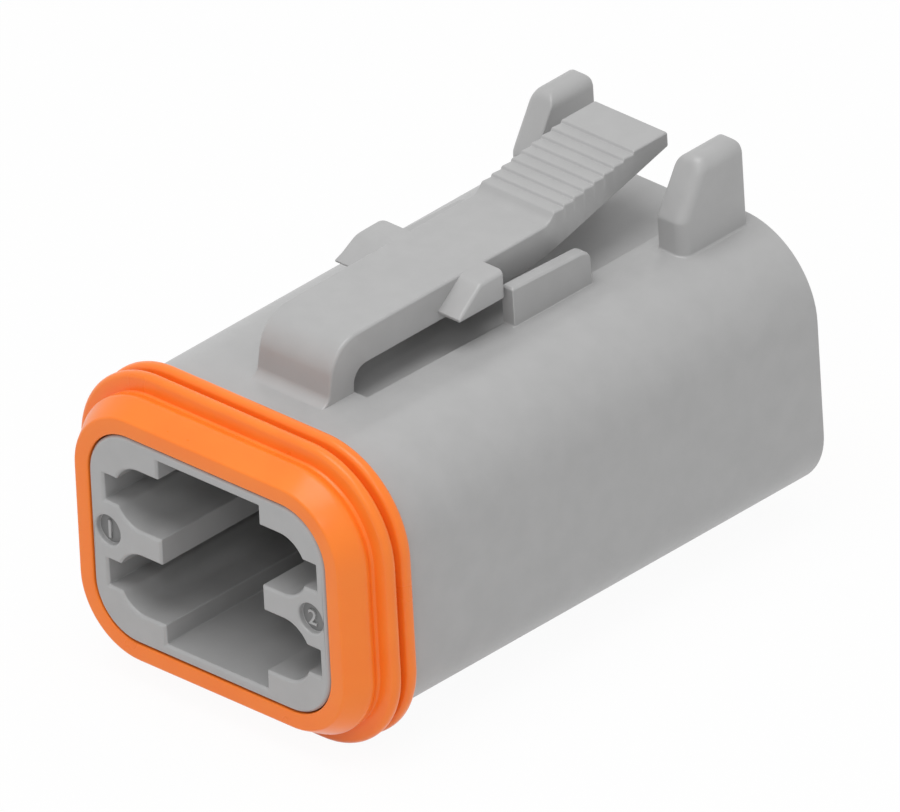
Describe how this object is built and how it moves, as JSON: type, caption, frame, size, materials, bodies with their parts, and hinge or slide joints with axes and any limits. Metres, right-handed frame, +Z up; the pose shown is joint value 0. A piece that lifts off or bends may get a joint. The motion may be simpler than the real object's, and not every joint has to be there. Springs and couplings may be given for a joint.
{
  "type": "sealed wire-to-wire connector plug",
  "caption": "Sealed rectangular connector plug with an open mating nose, a ridged front seal, a stepped latch lever between guard ears and a bored wire grommet.",
  "frame": {"origin": "centre of the nose's front face", "axes": "+Y runs from the mating face to the wire side, +Z is up with the latch on top, X is the width"},
  "size_m": [0.0248, 0.0393, 0.0241],
  "materials": {
    "moulded_plastic": "matte",
    "seal_rubber": "satin"
  },
  "bodies": {
    "plug": {"housing": "moulded_plastic", "interface_seal": "seal_rubber", "wire_grommet": "seal_rubber"},
    "latch": {"latch_arm": "moulded_plastic"},
    "finger_upper_left": {"locking_finger_upper_left": "moulded_plastic"},
    "finger_upper_right": {"locking_finger_upper_right": "moulded_plastic"},
    "finger_lower_left": {"locking_finger_lower_left": "moulded_plastic"},
    "finger_lower_right": {"locking_finger_lower_right": "moulded_plastic"}
  },
  "joints": [
    {"name": "latch_press", "type": "hinge", "parent": "plug", "child": "latch", "pos_m": [0, 0.00944, 0.01104], "axis": [-1, 0, 0], "range_deg": [0, 7], "stiffness_Nm_per_rad": 0.6},
    {"name": "finger_upper_left_give", "type": "hinge", "parent": "plug", "child": "finger_upper_left", "pos_m": [-0.00285, 0.0193, 0.00285], "axis": [0, 0, 1], "range_deg": [0, 5], "stiffness_Nm_per_rad": 0.1},
    {"name": "finger_upper_right_give", "type": "hinge", "parent": "plug", "child": "finger_upper_right", "pos_m": [0.00325, 0.0193, 0.00285], "axis": [0, 0, -1], "range_deg": [0, 5], "stiffness_Nm_per_rad": 0.1},
    {"name": "finger_lower_left_give", "type": "hinge", "parent": "plug", "child": "finger_lower_left", "pos_m": [-0.00285, 0.0193, -0.00285], "axis": [0, 0, 1], "range_deg": [0, 5], "stiffness_Nm_per_rad": 0.1},
    {"name": "finger_lower_right_give", "type": "hinge", "parent": "plug", "child": "finger_lower_right", "pos_m": [0.00325, 0.0193, -0.00285], "axis": [0, 0, -1], "range_deg": [0, 5], "stiffness_Nm_per_rad": 0.1}
  ]
}
